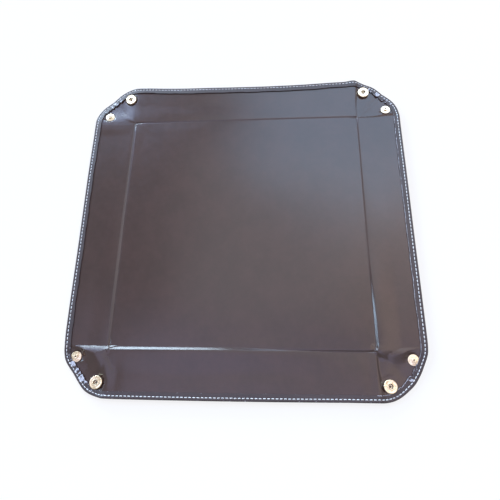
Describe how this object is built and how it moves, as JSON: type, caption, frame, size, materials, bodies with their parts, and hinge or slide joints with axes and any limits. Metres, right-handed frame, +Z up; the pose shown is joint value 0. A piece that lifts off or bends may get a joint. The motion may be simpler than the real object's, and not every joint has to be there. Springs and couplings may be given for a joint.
{
  "type": "folding leather tray",
  "caption": "Square leather tray with a stitched hem. It lies almost flat, and its creased walls fold up and snap together at the corners with press studs.",
  "frame": {"origin": "centre of the base's underside, on the surface that the tray lies on", "axes": "+Z up out of the tray, +X to the right and +Y to the back. The front and back walls carry the sockets, the left and right walls the studs."},
  "size_m": [0.32, 0.32, 0.0061],
  "materials": {
    "outer_leather": "smooth dark leather with a soft sheen",
    "lining_leather": "smooth dark brown leather with a soft sheen",
    "greyboard": "plain grey paper board",
    "pale_brass": "bright pale plated press stud",
    "spring_steel": "plain spring wire"
  },
  "bodies": {
    "base": {"base_outer": "outer_leather", "base_board": "greyboard", "base_lining": "lining_leather"},
    "wall_front": {"wall_front_outer": "outer_leather", "wall_front_board": "greyboard", "wall_front_lining": "lining_leather"},
    "wall_back": {"wall_back_outer": "outer_leather", "wall_back_board": "greyboard", "wall_back_lining": "lining_leather"},
    "wall_left": {"wall_left_outer": "outer_leather", "wall_left_board": "greyboard", "wall_left_lining": "lining_leather"},
    "wall_right": {"wall_right_outer": "outer_leather", "wall_right_board": "greyboard", "wall_right_lining": "lining_leather"},
    "socket_flap_front_left": {"socket_flap_outer_front_left": "outer_leather", "socket_flap_lining_front_left": "lining_leather", "socket_ring_front_left": "pale_brass", "socket_cap_front_left": "pale_brass", "socket_spring_front_left": "spring_steel"},
    "stud_flap_front_left": {"stud_flap_outer_front_left": "outer_leather", "stud_flap_lining_front_left": "lining_leather", "stud_post_front_left": "pale_brass", "stud_rivet_front_left": "pale_brass"},
    "socket_flap_front_right": {"socket_flap_outer_front_right": "outer_leather", "socket_flap_lining_front_right": "lining_leather", "socket_ring_front_right": "pale_brass", "socket_cap_front_right": "pale_brass", "socket_spring_front_right": "spring_steel"},
    "stud_flap_front_right": {"stud_flap_outer_front_right": "outer_leather", "stud_flap_lining_front_right": "lining_leather", "stud_post_front_right": "pale_brass", "stud_rivet_front_right": "pale_brass"},
    "socket_flap_back_left": {"socket_flap_outer_back_left": "outer_leather", "socket_flap_lining_back_left": "lining_leather", "socket_ring_back_left": "pale_brass", "socket_cap_back_left": "pale_brass", "socket_spring_back_left": "spring_steel"},
    "stud_flap_back_left": {"stud_flap_outer_back_left": "outer_leather", "stud_flap_lining_back_left": "lining_leather", "stud_post_back_left": "pale_brass", "stud_rivet_back_left": "pale_brass"},
    "socket_flap_back_right": {"socket_flap_outer_back_right": "outer_leather", "socket_flap_lining_back_right": "lining_leather", "socket_ring_back_right": "pale_brass", "socket_cap_back_right": "pale_brass", "socket_spring_back_right": "spring_steel"},
    "stud_flap_back_right": {"stud_flap_outer_back_right": "outer_leather", "stud_flap_lining_back_right": "lining_leather", "stud_post_back_right": "pale_brass", "stud_rivet_back_right": "pale_brass"}
  },
  "joints": [
    {"name": "front_wall_fold", "type": "hinge", "parent": "base", "child": "wall_front", "pos_m": [0, -0.118, 0.002], "axis": [-1, 0, 0], "range_deg": [-3, 87]},
    {"name": "back_wall_fold", "type": "hinge", "parent": "base", "child": "wall_back", "pos_m": [0, 0.118, 0.002], "axis": [1, 0, 0], "range_deg": [-3, 87]},
    {"name": "left_wall_fold", "type": "hinge", "parent": "base", "child": "wall_left", "pos_m": [-0.118, 0, 0.002], "axis": [0, 1, 0], "range_deg": [-3, 87]},
    {"name": "right_wall_fold", "type": "hinge", "parent": "base", "child": "wall_right", "pos_m": [0.118, 0, 0.002], "axis": [0, -1, 0], "range_deg": [-3, 87]},
    {"name": "socket_flap_fold_front_left", "type": "hinge", "parent": "wall_front", "child": "socket_flap_front_left", "pos_m": [-0.11523, -0.11811, 0], "axis": [0, -0.9986, 0.0523], "range_deg": [-1.51, 43.76]},
    {"name": "stud_flap_fold_front_left", "type": "hinge", "parent": "socket_flap_front_left", "child": "stud_flap_front_left", "pos_m": [-0.11795, -0.11795, 0.00332], "axis": [0.7069, 0.7069, -0.0217], "range_deg": [-6, 174]},
    {"name": "socket_flap_fold_front_right", "type": "hinge", "parent": "wall_front", "child": "socket_flap_front_right", "pos_m": [0.11523, -0.11811, 0], "axis": [0, 0.9986, -0.0523], "range_deg": [-1.51, 43.76]},
    {"name": "stud_flap_fold_front_right", "type": "hinge", "parent": "socket_flap_front_right", "child": "stud_flap_front_right", "pos_m": [0.11795, -0.11795, 0.00332], "axis": [0.7069, -0.7069, 0.0217], "range_deg": [-6, 174]},
    {"name": "socket_flap_fold_back_left", "type": "hinge", "parent": "wall_back", "child": "socket_flap_back_left", "pos_m": [-0.11523, 0.11811, 0], "axis": [0, -0.9986, -0.0523], "range_deg": [-1.51, 43.76]},
    {"name": "stud_flap_fold_back_left", "type": "hinge", "parent": "socket_flap_back_left", "child": "stud_flap_back_left", "pos_m": [-0.11795, 0.11795, 0.00332], "axis": [-0.7069, 0.7069, 0.0217], "range_deg": [-6, 174]},
    {"name": "socket_flap_fold_back_right", "type": "hinge", "parent": "wall_back", "child": "socket_flap_back_right", "pos_m": [0.11523, 0.11811, 0], "axis": [0, 0.9986, 0.0523], "range_deg": [-1.51, 43.76]},
    {"name": "stud_flap_fold_back_right", "type": "hinge", "parent": "socket_flap_back_right", "child": "stud_flap_back_right", "pos_m": [0.11795, 0.11795, 0.00332], "axis": [-0.7069, -0.7069, -0.0217], "range_deg": [-6, 174]}
  ],
  "couplings": [
    {"joint": "back_wall_fold", "follows": "front_wall_fold", "ratio": 1},
    {"joint": "left_wall_fold", "follows": "front_wall_fold", "ratio": 1},
    {"joint": "right_wall_fold", "follows": "front_wall_fold", "ratio": 1},
    {"joint": "socket_flap_fold_front_left", "follows": "front_wall_fold", "ratio": 0.50296},
    {"joint": "stud_flap_fold_front_left", "follows": "front_wall_fold", "ratio": 2},
    {"joint": "socket_flap_fold_front_right", "follows": "front_wall_fold", "ratio": 0.50296},
    {"joint": "stud_flap_fold_front_right", "follows": "front_wall_fold", "ratio": 2},
    {"joint": "socket_flap_fold_back_left", "follows": "front_wall_fold", "ratio": 0.50296},
    {"joint": "stud_flap_fold_back_left", "follows": "front_wall_fold", "ratio": 2},
    {"joint": "socket_flap_fold_back_right", "follows": "front_wall_fold", "ratio": 0.50296},
    {"joint": "stud_flap_fold_back_right", "follows": "front_wall_fold", "ratio": 2}
  ]
}
